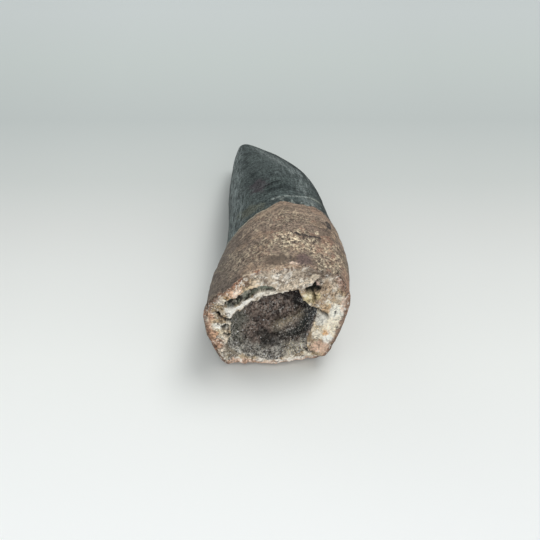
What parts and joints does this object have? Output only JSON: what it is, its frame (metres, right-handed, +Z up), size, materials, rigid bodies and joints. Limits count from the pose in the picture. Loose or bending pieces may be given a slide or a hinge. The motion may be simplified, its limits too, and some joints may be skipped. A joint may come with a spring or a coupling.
{
  "type": "fossil dinosaur tooth",
  "caption": "Curved conical fossil tooth of a meat-eating dinosaur lying on its side, with a grey crown and a snapped brown root open at the pulp cavity.",
  "frame": {"origin": "centre of the bounding box at the level of the surface that the tooth lies on", "axes": "+Y from the broken root towards the tip, +X across the tooth towards its convex front edge, +Z up"},
  "size_m": [0.0334, 0.0806, 0.0285],
  "materials": {
    "fossil": "mineralised: satin grey enamel on the crown, dull brown root, rough cream break"
  },
  "bodies": {
    "root": {"tooth": "fossil"}
  },
  "joints": []
}
